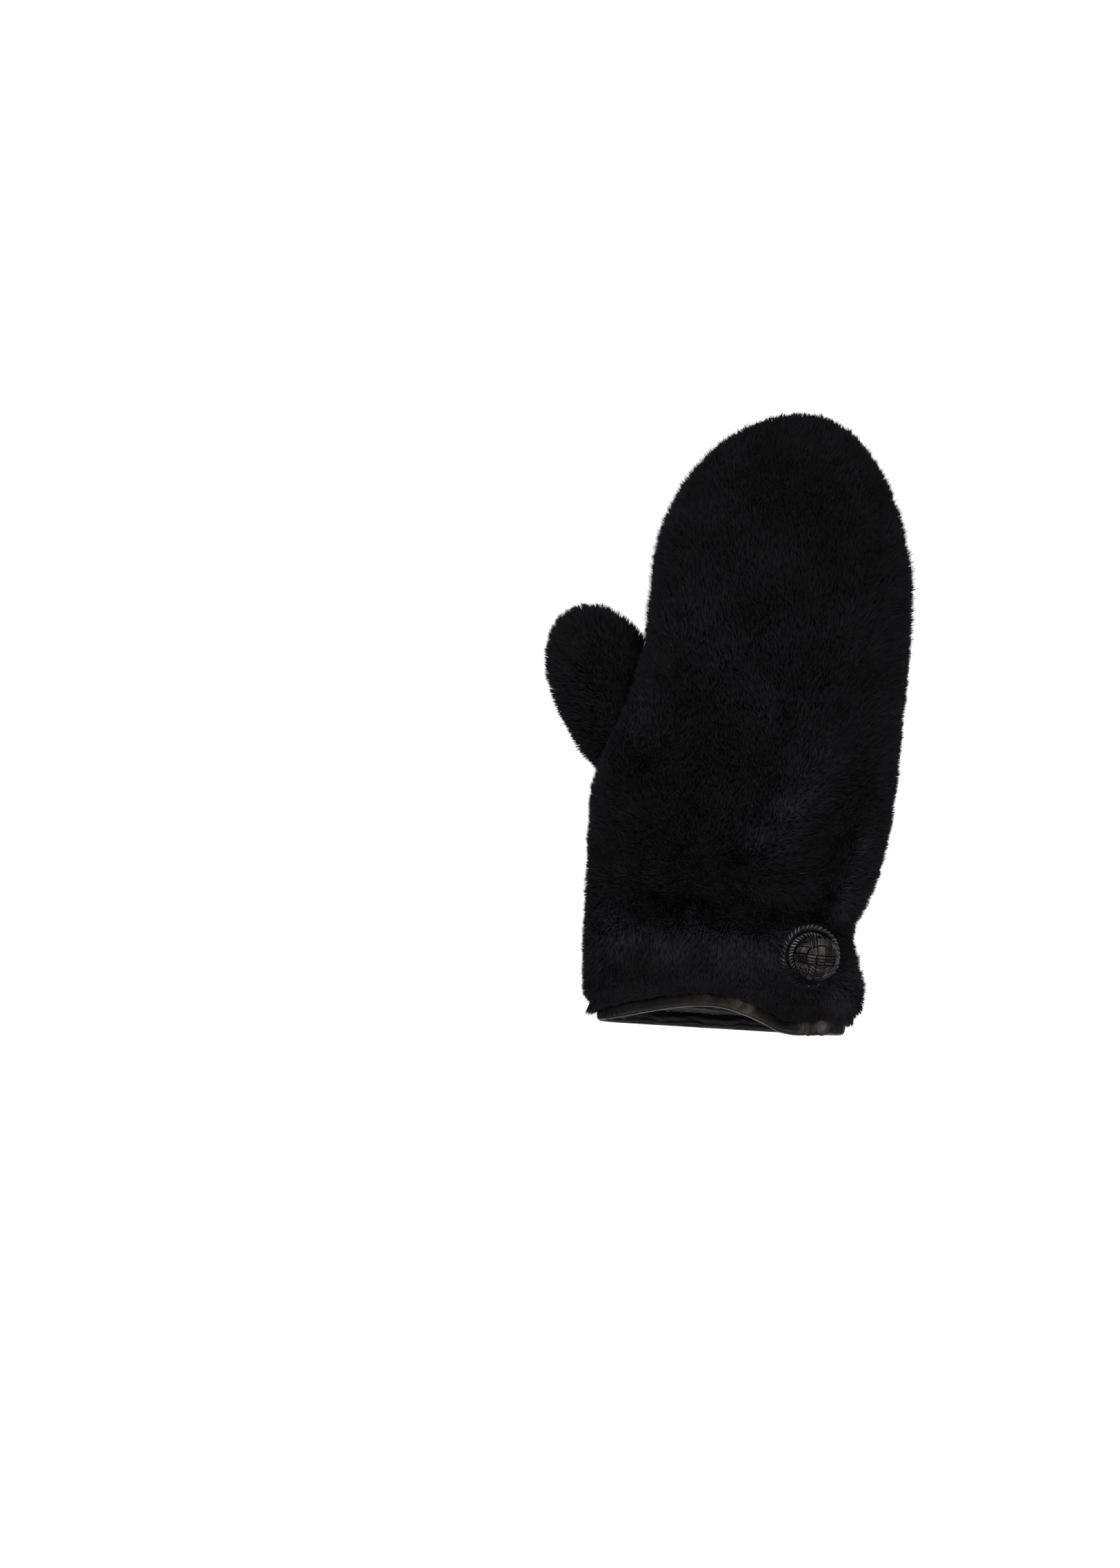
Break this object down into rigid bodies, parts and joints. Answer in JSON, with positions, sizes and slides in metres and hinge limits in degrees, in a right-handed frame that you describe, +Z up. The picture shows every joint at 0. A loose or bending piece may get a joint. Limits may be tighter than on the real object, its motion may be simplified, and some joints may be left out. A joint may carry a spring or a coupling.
{
  "type": "fur mitten",
  "caption": "Right-hand mitten of short black fur lying palm down, with a thumb pouch, a lined pocket, a leather-bound arched cuff and a woven leather button.",
  "frame": {"origin": "under the middle of the mitten's box, on the surface that its palm lies on", "axes": "+Y from the cuff to the fingertips, +Z up out of the back of the hand, -X towards the thumb"},
  "size_m": [0.163, 0.2834, 0.0476],
  "materials": {
    "fur": "short dense sheared pile, near black with a faint cool sheen",
    "lining": "smooth black lining with a soft gloss and fine wrinkles",
    "binding_leather": "soft black nappa, satin",
    "button_leather": "woven flat leather strips, satin",
    "button_cord": "whip-stitched leather cord, satin"
  },
  "bodies": {
    "root": {"back_panel": "fur", "palm_panel": "fur", "thumb": "fur", "lining": "lining", "cuff_binding": "binding_leather", "binding_lap": "binding_leather", "button_dome": "button_leather", "button_rim": "button_cord"}
  },
  "joints": []
}
